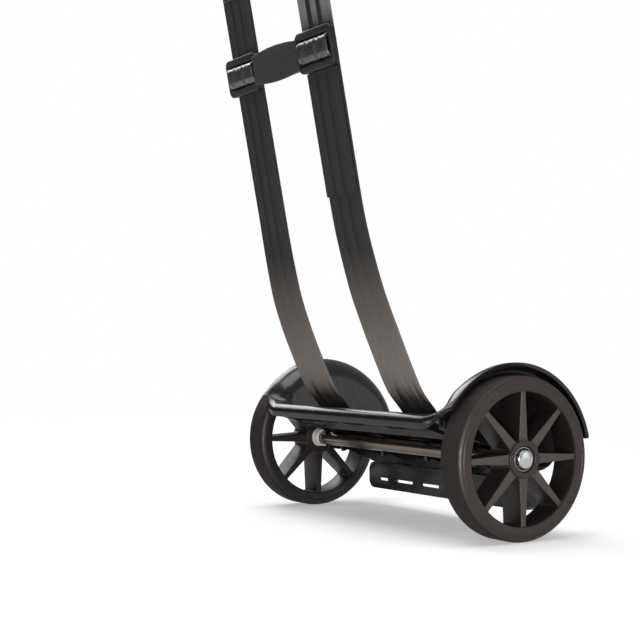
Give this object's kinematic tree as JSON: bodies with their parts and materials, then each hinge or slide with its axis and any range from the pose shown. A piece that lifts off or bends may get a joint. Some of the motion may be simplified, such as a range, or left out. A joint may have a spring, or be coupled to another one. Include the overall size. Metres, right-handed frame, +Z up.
{
  "type": "double bass transport wheel",
  "caption": "Moulded cradle on spoked wheels that carries a double bass by its lower corner, with linked webbing straps up its side.",
  "frame": {"origin": "middle of the bounding box's base, on the floor under the cradle", "axes": "+Z up, +X towards the rear of the cradle, where its rail is, +Y along the axle towards the far wheel"},
  "size_m": [0.2236, 0.3224, 0.4649],
  "materials": {
    "cradle_plastic": "glossy black moulded plastic",
    "wheel_plastic": "satin black moulded plastic",
    "bush_plastic": "natural white moulded plastic",
    "axle_steel": "ground steel rod",
    "plated_steel": "bright plated steel",
    "webbing": "woven black webbing",
    "slider_plastic": "matte black moulded plastic",
    "band_rubber": "grained black moulded rubber"
  },
  "bodies": {
    "chassis": {"cradle": "cradle_plastic", "axle": "axle_steel", "near_axle_spacer": "bush_plastic", "far_axle_spacer": "bush_plastic", "near_cap_washer": "plated_steel", "far_cap_washer": "plated_steel", "near_axle_cap": "plated_steel", "far_axle_cap": "plated_steel", "near_strap": "webbing", "far_strap": "webbing"},
    "near_wheel_body": {"near_wheel": "wheel_plastic", "near_hub_bush": "bush_plastic"},
    "far_wheel_body": {"far_wheel": "wheel_plastic", "far_hub_bush": "bush_plastic"},
    "slider_body": {"near_slider": "slider_plastic", "far_slider": "slider_plastic", "near_webbing_loop": "webbing", "far_webbing_loop": "webbing", "link_band": "band_rubber", "near_strap_tail": "webbing"}
  },
  "joints": [
    {"name": "near_wheel_spin", "type": "hinge", "parent": "chassis", "child": "near_wheel_body", "pos_m": [0.02997, -0.1465, 0.0635], "axis": [0, 1, 0], "continuous": true},
    {"name": "far_wheel_spin", "type": "hinge", "parent": "chassis", "child": "far_wheel_body", "pos_m": [0.02997, 0.1465, 0.0635], "axis": [0, 1, 0], "continuous": true},
    {"name": "slider_slide", "type": "slide", "parent": "chassis", "child": "slider_body", "axis": [-0.1914, 0, 0.9815], "range_m": [-0.04, 0.04]}
  ]
}
